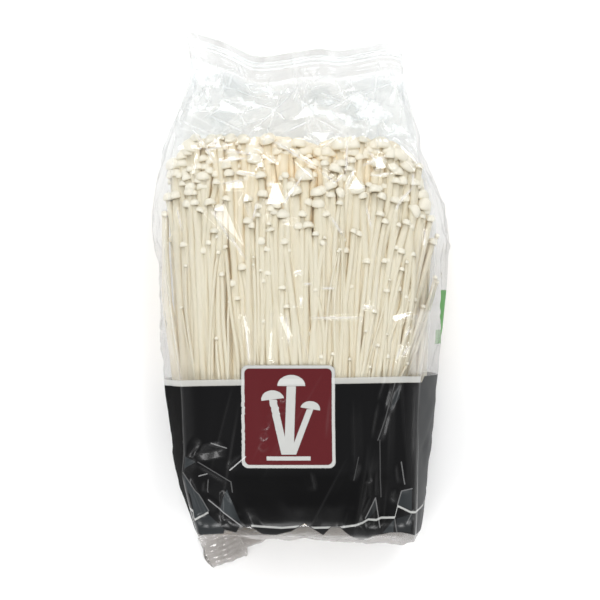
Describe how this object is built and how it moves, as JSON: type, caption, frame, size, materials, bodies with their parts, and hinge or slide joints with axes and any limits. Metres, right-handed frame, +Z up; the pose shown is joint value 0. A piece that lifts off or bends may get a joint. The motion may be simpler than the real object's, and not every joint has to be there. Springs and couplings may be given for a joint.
{
  "type": "enoki mushroom bunch",
  "caption": "Bunch of enoki mushrooms grown from one base, sealed in a clear side-gusset film bag with a dark printed foot, lying on its back.",
  "frame": {"origin": "centre of the bag's outline from above, on the surface that it lies on", "axes": "+X across the bag, +Y from the cut base to the caps, +Z up, out of the front panel"},
  "size_m": [0.1132, 0.2101, 0.047],
  "materials": {
    "mushroom": "moist cream mushroom flesh, matte, slightly see-through at the edges",
    "film": "clear glossy packing film with a black printed foot, a maroon panel, pale stripes and a green side block"
  },
  "bodies": {
    "root": {"enoki_bunch": "mushroom", "bag_film": "film"}
  },
  "joints": []
}
